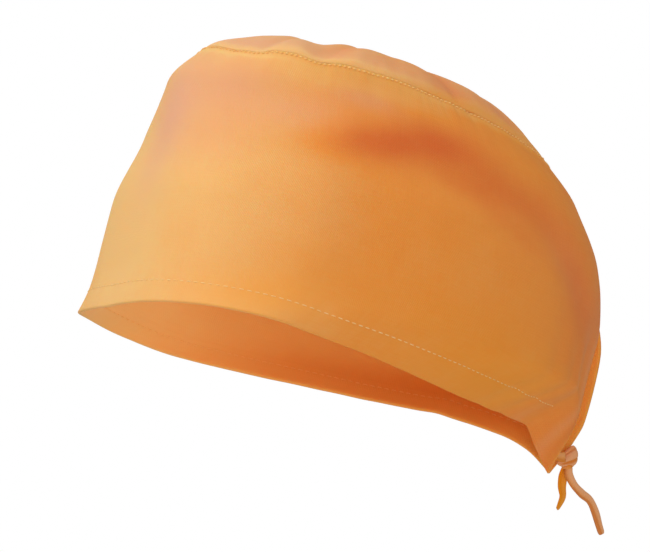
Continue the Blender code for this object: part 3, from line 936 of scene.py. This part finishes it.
# The inside is painted paler than the outside, as painted light that comes through the cloth
INSIDE_TONE = -0.65
INSIDE_PAINTED_GLOW = -0.60  # the inside's painted glow at the back, a deep orange standing for light through the cloth
INSIDE_FRONT = 0.35  # how much paler and pinker the inside is painted in front, as painted light


def band_looks(side, around, height):
    """The tone and the painted light of the band's cloth, which paint its light and shade."""
    pale, end, lean, soft = PALE_FRONT
    red, start, reach = RED_BACK
    # Painted light, paler in front, and painted shade, redder towards the back, before the table's
    # painted shades
    tone = pale / (1 + np.exp((around - end + lean * height) / (soft * 0.4)))
    tone = tone + red / (1 + np.exp((start - around) / (reach * 0.4)))
    bloom = np.zeros(tone.shape)
    for shade in SHADES:
        share = patch(shade, around * side * shade.side, height)
        tone = tone + shade.tone * share
        bloom = bloom + shade.bloom * share
    return tone, bloom


def edge_round(distance, radius):
    """How far a surface is drawn in beside a folded edge, towards the cloth's middle."""
    inside = np.clip(radius - distance, 0, radius)
    return 0.9 * (radius - np.sqrt(np.maximum(radius**2 - inside**2, 0)))


# The depths and sizes of the small relief
CROWN_WAVES = (0.6 * MM, 30 * MM)
CROWN_GATHERS = (0.9 * MM, 8 * MM)
WIDE_WAVES = (0.45 * MM, 34 * MM)
NARROW_WAVES = (0.16 * MM, 13 * MM)
GATHERS = (0.55 * MM, 7 * MM)  # under the crown seam
RIPPLES = (0.2 * MM, 5 * MM)  # along the hem's stitches
HEM_STEP = 0.12 * MM
HEM_GROOVE = 0.09 * MM
SEAM_GROOVE = 0.08 * MM
SEAM_ROLL = 0.3 * MM
SEAM_DEEP = 2.6 * MM  # how far the painted light, pale with a deep orange glow, reaches beside the crown seam
RIM_ROUND = 0.7 * MM
SLIT_ROUND = 0.8 * MM


def band_cloth():
    """Outer and inner points of the band as (side, row, column), with its looks and its grid."""
    shares, heights = band_columns(), band_heights()
    sides = (1, -1)
    plain = np.array(
        [[[plain_cloth(s, float(a), float(h)) for a in shares] for h in heights] for s in sides]
    )
    slit_top = int(np.argmin(np.abs(heights * BAND_HEIGHT - SLIT_HEIGHT)))
    along, up = np.gradient(plain, axis=2), np.gradient(plain, axis=1)
    outward = unit(np.cross(along, up)) * np.array([1, -1])[:, None, None, None]
    around, height = np.meshgrid(shares, heights)
    run = around * HALF_LENGTH
    rise = height * BAND_HEIGHT
    to_slit = HALF_LENGTH - run
    beside_slit = np.clip((SLIT_HEIGHT - rise) / (4 * MM), 0, 1)
    under_seam = BAND_HEIGHT - rise
    detail = np.zeros(plain.shape[:3])
    tones = np.zeros(plain.shape[:3])
    painted_lights = np.zeros(plain.shape[:3])
    for k, side in enumerate(sides):
        folds = fold_depth(side, around, height)
        soft = WIDE_WAVES[0] * waves(plain[k], WIDE_WAVES[1], 1)
        soft = soft + NARROW_WAVES[0] * waves(plain[k], NARROW_WAVES[1], 2)
        strip = np.stack([side * run, 0 * run, 0.25 * rise], -1)
        gathers = waves(strip, GATHERS[1], 3, 2) * np.exp(-under_seam / GATHERS[1])
        ripples = waves(strip, RIPPLES[1], 4) * bump(rise - HEM_STITCHES, 4.5 * MM)
        hem = HEM_STEP * np.clip(1 - rise / (11 * MM), 0, 1)
        groove = -HEM_GROOVE * bump(rise - HEM_STITCHES, 0.75 * MM)
        groove -= SEAM_GROOVE * bump(under_seam - SEAM_STITCHES, 0.6 * MM)
        roll = -SEAM_ROLL * np.clip(1 - under_seam / (1.0 * MM), 0, 1) ** 2
        detail[k] = soft + GATHERS[0] * gathers + RIPPLES[0] * ripples + hem + groove + roll - folds
        # Painted light beside the crown seam, paler with a deep orange glow; the slit's edge pale
        # as a painted highlight and redder next to it as painted shade
        tones[k], painted_lights[k] = band_looks(side, around, height)
        # Tone that follows the relief of the gathers and the ripples, as painted shade
        tones[k] += 0.3 * gathers + 0.15 * ripples
        beside_seam = bump(under_seam - SEAM_STITCHES, SEAM_DEEP)
        tones[k] -= 0.80 * beside_seam
        painted_lights[k] -= 0.35 * beside_seam
        # Painted shade on the rim's rounded edge
        tones[k] += 0.15 * bump(rise, RIM_ROUND)
        tones[k] -= 0.55 * bump(to_slit, 1.2 * MM) * beside_slit
        groove_shade = bump(to_slit - 4.5 * MM, 2.2 * MM) * beside_slit
        tones[k] += 0.35 * groove_shade * np.clip(rise / (25 * MM), 0, 1)
        # Pale painted sheen on the ridges beside the slit
        painted_lights[k] += 0.20 * bump(to_slit - 10 * MM, 3.5 * MM) * beside_slit
        painted_lights[k] += 0.22 * bump(to_slit - 36 * MM, 8 * MM) * np.exp(-rise / (30 * MM))
        painted_lights[k] = painted_lights[k].clip(-1, 1)
    plain[..., 1] += CORNER_BACK * around**6 * bump(rise, 16 * MM)
    plain[1, ..., 1] += FAR_EDGE_BACK * around**14 * bump(rise - 26 * MM, 28 * MM)
    joined = np.s_[:, slit_top:, -1]
    for values in (plain, outward, detail, tones, painted_lights):
        values[:, :, 0] = values[:, :, 0].mean(0)
        values[joined] = values[joined].mean(0)
    outward = unit(outward)
    double = 0.5 * np.clip((HEM_HEIGHT + 2.5 * MM - rise) / (7.0 * MM), 0, 1)
    double = np.maximum(double, np.clip((FACING - to_slit) / (0.3 * MM), 0, 1) * beside_slit)
    double = np.maximum(double, 0.8 * np.clip((SEAM_ALLOWANCE - under_seam) / (0.5 * MM), 0, 1))
    thick = CLOTH + (HEM_CLOTH - CLOTH) * double
    edge = np.maximum(edge_round(rise, RIM_ROUND), edge_round(to_slit, SLIT_ROUND) * beside_slit)
    outer = plain + outward * (detail - edge)[..., None]
    inner = plain + outward * (detail - thick + edge)[..., None]
    thread = np.stack(np.broadcast_arrays(run, rise, 0 * run), -1)
    threads = np.stack([thread, thread * np.array([-1, 1, 1])])
    looks = (tones, painted_lights, threads)
    return worn(outer), worn(inner), worn(outward), looks, slit_top, heights, shares


outer, inner, outward, (tones, painted_lights, threads), slit_top, heights, shares = band_cloth()


def side_band():
    """The wall round the head as one closed piece of cloth."""
    shape = outer.shape[:3]
    count = int(np.prod(shape))
    ids = np.arange(2 * count).reshape(2, *shape)
    merged = ids.copy()
    merged[:, 1, :, 0] = merged[:, 0, :, 0]
    merged[:, 1, slit_top:, -1] = merged[:, 0, slit_top:, -1]
    faces = []
    for k in (0, 1):
        near = k == 0
        faces.append(grid_faces(ids[0, k], flip=not near))
        faces.append(grid_faces(ids[1, k], flip=near))
        rim = np.stack([ids[1, k, 0], ids[0, k, 0]])
        faces.append(grid_faces(rim, flip=not near))
        top = np.stack([ids[0, k, -1], ids[1, k, -1]])
        faces.append(grid_faces(top, flip=not near))
        slit = np.stack([ids[0, k, : slit_top + 1, -1], ids[1, k, : slit_top + 1, -1]], 1)
        faces.append(grid_faces(slit, flip=not near))
    points = np.concatenate([outer.reshape(-1, 3), inner.reshape(-1, 3)])
    thread = np.concatenate([threads.reshape(-1, 3)] * 2)
    # The inside's painted light: paler and pinker in front, a deeper painted glow towards the back
    front = bump(shares, 0.3)
    inside_tone = np.broadcast_to(INSIDE_TONE - INSIDE_FRONT * front, tones.shape)
    tone = np.concatenate([tones.reshape(-1), inside_tone.reshape(-1)])
    inside_painted_light = INSIDE_PAINTED_GLOW * shares.clip(0, 1) ** 0.8 + INSIDE_FRONT * front
    inside_painted_light = np.broadcast_to(inside_painted_light, tones.shape)
    band = add_piece(
        "side_cloth",
        points,
        np.concatenate(faces),
        thread,
        tone,
        band_cotton,
        merged.reshape(-1),
        np.concatenate([painted_lights.reshape(-1), inside_painted_light.reshape(-1)]),
    )
    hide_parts("side_band")
    return band


def round_line(surface, lift, j, flip=1):
    """A row of the band from the near slit edge round the front to the far one."""
    near = surface[0, j, ::-1][:-4]
    far = surface[1, j, 1:][:-4]
    directions = np.concatenate([lift[0, j, ::-1][:-4], lift[1, j, 1:][:-4]])
    return np.concatenate([near, far]), directions * flip


band = side_band()
hem_row = int(np.argmin(np.abs(heights * BAND_HEIGHT - HEM_STITCHES)))
seam_row = int(np.argmin(np.abs((1 - heights) * BAND_HEIGHT - SEAM_STITCHES)))
slit_column = int(np.argmin(np.abs((1 - shares) * HALF_LENGTH - SLIT_STITCHES)))
inner_row = int(np.argmin(np.abs(heights * BAND_HEIGHT - INNER_STITCHES)))
hem_from = int(np.sum(shares > HEM_SEWN_TO))
hem_points, hem_outward = round_line(outer, outward, hem_row)
hem_lines = [
    (hem_points[hem_from:], hem_outward[hem_from:], -0.5),
    (*round_line(inner, outward, inner_row, -1), 1.3),
]
hem_thread = stitches("hem_stitches", hem_lines, LONG_STITCH, 0.15)
seam_lines = [(*round_line(outer, outward, seam_row), 0.3)]
seam_thread = stitches("seam_stitches", seam_lines, SHORT_STITCH, 0.1, SEAM_THREAD)
slit_lines_sewn = []
for k in (0, 1):
    rows = np.s_[hem_row : slit_top - 1]
    slit_lines_sewn.append((inner[k, rows, slit_column], -outward[k, rows, slit_column], 1.0))
slit_thread = stitches("slit_stitches", slit_lines_sewn, LONG_STITCH)


# The crown


def crown_cloth():
    """Points of the crown's upper side as (ring, place round it), its tones and painted light, its
    top.
    """
    count = 180
    columns = [i / count for i in range(count + 1)]
    loop = [(1, around) for around in columns] + [(-1, around) for around in columns[-2:0:-1]]
    places = [cloth(side, around, 1.0) for side, around in loop]
    edge = np.array(places)
    middle = np.array(sum(places, Vector()) / len(places))
    rings = np.array(
        [1.0, 0.995, 0.988, 0.978, 0.965, 0.95, 0.93, 0.905, 0.88, 0.85, 0.82, 0.785, 0.75, 0.71]
    )
    rings = np.concatenate([rings, np.linspace(0.67, 0.03, 17)])[:, None]
    reach = np.linalg.norm(edge - middle, axis=1)
    inset = edge - unit(edge - middle) * 0.5 * MM
    points = middle + (inset - middle) * rings[..., None]
    points[..., 2] = middle[2] + (inset[:, 2] - middle[2]) * rings**2 + 0.1 * MM
    points[..., 2] += CROWN_RISE * (1 - rings**DOME_SQUARENESS) ** DOME_ROUNDNESS
    side = np.array([s for s, _ in loop])
    around = np.array([a for _, a in loop])
    tone = np.zeros(points.shape[:2])
    for pucker in PUCKERS:
        close = bump(around - pucker.around, pucker.breadth) * (side == pucker.side)
        sunk = pucker.depth * close * np.sin(pi * rings**3)
        points[..., 2] -= PUCKER_DEPTH * sunk
        # Painted shade in the puckers
        tone += 0.55 * sunk
    valley_way = radians(VALLEY_TURN)
    across = points[..., 0] * sin(valley_way) + points[..., 1] * cos(valley_way)
    for valley in VALLEYS:
        depth = valley.depth * bump(across - valley.place, valley.breadth)
        points[..., 2] -= depth * (1 - rings**8)
    from_seam = (1 - rings) * reach
    round_place = np.stack([edge[:, 0], edge[:, 1], 0 * around], -1)
    gather = waves(round_place, CROWN_GATHERS[1], 6, 2) * np.exp(-from_seam / (9 * MM))
    gather = gather * (1 - np.exp(-from_seam / (1.2 * MM)))
    soft = waves(points, CROWN_WAVES[1], 7) * (1 - rings**4)
    points[..., 2] += CROWN_GATHERS[0] * gather + CROWN_WAVES[0] * soft
    to_front = (edge[:, 1].max() - points[..., 1]) / np.ptp(edge[:, 1])
    # Painted light: paler on the raised gathers and towards the front, paler with a deep orange
    # glow along the seam, and pale clouds that vary at random
    tone = tone - 0.35 * gather + 0.1 - 0.7 * np.clip((to_front - 0.45) / 0.4, 0, 1)
    bloom = 0.5 * waves(points, 40 * MM, 8) - 0.25 + 0.9 * to_front
    bloom = (bloom - 0.8 * bump(from_seam, 3.2 * MM)).clip(-0.5, 0.8)
    tone = tone - 0.8 * bump(from_seam, 3.6 * MM)
    return worn(points), tone, bloom, worn(middle + np.array([0, 0, CROWN_RISE + 0.1 * MM]))


def crown_panel():
    """The oval panel sewn into the top of the band, as one closed piece of cloth."""
    upper, tone, bloom, top = crown_cloth()
    rings, count = upper.shape[:2]
    wrapped = np.concatenate([upper[:, -1:], upper, upper[:, :1]], 1)
    along = np.gradient(wrapped, axis=1)[:, 1:-1]
    inward = np.gradient(upper, axis=0)
    normal = unit(np.cross(along, inward))
    normal = normal * np.sign((normal @ np.array(WORN.to_3x3() @ Vector((0, 0, 1)))).mean())
    lower = upper - normal * CLOTH
    ids = np.arange(2 * rings * count).reshape(2, rings, count)
    ids = np.concatenate([ids, ids[..., :1]], 2)
    tip = 2 * rings * count
    rim = np.stack([ids[1, 0], ids[0, 0]])
    faces = [grid_faces(ids[0]), grid_faces(ids[1], flip=True), grid_faces(rim)]
    caps = []
    for i in range(0, count, 2):
        caps.append((tip, ids[0, -1, i], ids[0, -1, i + 1], ids[0, -1, i + 2]))
        caps.append((tip + 1, ids[1, -1, i + 2], ids[1, -1, i + 1], ids[1, -1, i]))
    up = np.array(WORN.to_3x3() @ Vector((0, 0, 1)))
    points = np.concatenate([upper.reshape(-1, 3), lower.reshape(-1, 3), [top, top - up * CLOTH]])
    level = points @ np.array(WORN.to_3x3())
    thread = np.stack([level[:, 0], level[:, 1], 0 * level[:, 0]], 1)
    # The underside is painted redder, as painted shade
    tones_all = np.concatenate([tone.reshape(-1), tone.reshape(-1) + 0.3, [0.1, 0.4]])
    crown = add_piece(
        "crown_cloth",
        points,
        np.concatenate(faces + [np.array(caps)]),
        thread,
        tones_all,
        crown_cotton,
        bloom=np.concatenate([bloom.reshape(-1), 0 * bloom.reshape(-1), [0.3, 0.0]]),
    )
    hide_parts("crown_panel")
    return crown


crown_panel()


# The studio


# Square lights that look at the cap, turned and raised as the camera is, with their watts
LIGHTS = table(
    "name turn rise power",
    ("key", -3, 36, 8.8),
    ("top", 60, 72, 5.2),
    ("fill", 72, -12, 6.0),
)
LIGHT_DISTANCE = 1.6
LIGHT_SIZE = 0.9
LIGHT_AIM = Vector((0, 0, 0.04))
INSIDE_LIGHT = 0.042
INSIDE_PLACE = (0.0, -0.055, 0.05)
SKY_COLOUR = (1.0, 0.985, 0.96, 1.0)
SKY_STRENGTH = 0.44
FLOOR_DROP = 0.90
FLOOR_SIZE = 4.0


def area_light(name, turn, rise, power):
    turn, rise = radians(turn), radians(rise)
    back = Vector((sin(turn) * cos(rise), -cos(turn) * cos(rise), sin(rise)))
    data = bpy.data.lights.new(name, "AREA")
    data.size = LIGHT_SIZE
    data.energy = power
    light = bpy.data.objects.new(name, data)
    light.location = back * LIGHT_DISTANCE + LIGHT_AIM
    light.rotation_euler = (-back).to_track_quat("-Z", "Y").to_euler()
    bpy.context.scene.collection.objects.link(light)


def inside_light():
    """A weak light inside the cap, which stands for the light that comes through its thin cloth."""
    data = bpy.data.lights.new("glow", "POINT")
    data.energy = INSIDE_LIGHT
    data.shadow_soft_size = 0.03
    glow = bpy.data.objects.new("glow", data)
    glow.location = INSIDE_PLACE
    glow.visible_camera = False
    bpy.context.scene.collection.objects.link(glow)


def studio():
    """Soft light from all round, a white backdrop, a pale floor and the lights."""
    world = bpy.data.worlds.new("studio")
    world.use_nodes = True
    tree = world.node_tree
    sky = tree.nodes["Background"]
    sky.inputs["Color"].default_value = SKY_COLOUR
    sky.inputs["Strength"].default_value = SKY_STRENGTH
    backdrop = tree.nodes.new("ShaderNodeBackground")
    backdrop.inputs["Color"].default_value = (1.0, 1.0, 1.0, 1.0)
    rays = tree.nodes.new("ShaderNodeLightPath")
    mix = tree.nodes.new("ShaderNodeMixShader")
    link(tree, rays.outputs["Is Camera Ray"], mix.inputs["Fac"])
    link(tree, sky.outputs["Background"], mix.inputs[1])
    link(tree, backdrop.outputs["Background"], mix.inputs[2])
    link(tree, mix.outputs["Shader"], tree.nodes["World Output"].inputs["Surface"])
    bpy.context.scene.world = world
    bpy.context.scene.view_settings.view_transform = "Standard"
    shape = bmesh.new()
    bmesh.ops.create_circle(shape, cap_ends=True, segments=96, radius=FLOOR_SIZE)
    mesh = bpy.data.meshes.new("floor")
    shape.to_mesh(mesh)
    shape.free()
    floor = bpy.data.objects.new("floor", mesh)
    floor.location.z = -FLOOR_DROP
    pale = bpy.data.materials.new("pale_floor")
    pale.use_nodes = True
    shader = pale.node_tree.nodes["Principled BSDF"]
    shader.inputs["Base Color"].default_value = (0.8, 0.8, 0.8, 1)
    shader.inputs["Roughness"].default_value = 0.9
    mesh.materials.append(pale)
    bpy.context.scene.collection.objects.link(floor)
    for light in LIGHTS:
        area_light(*light)
    inside_light()


studio()
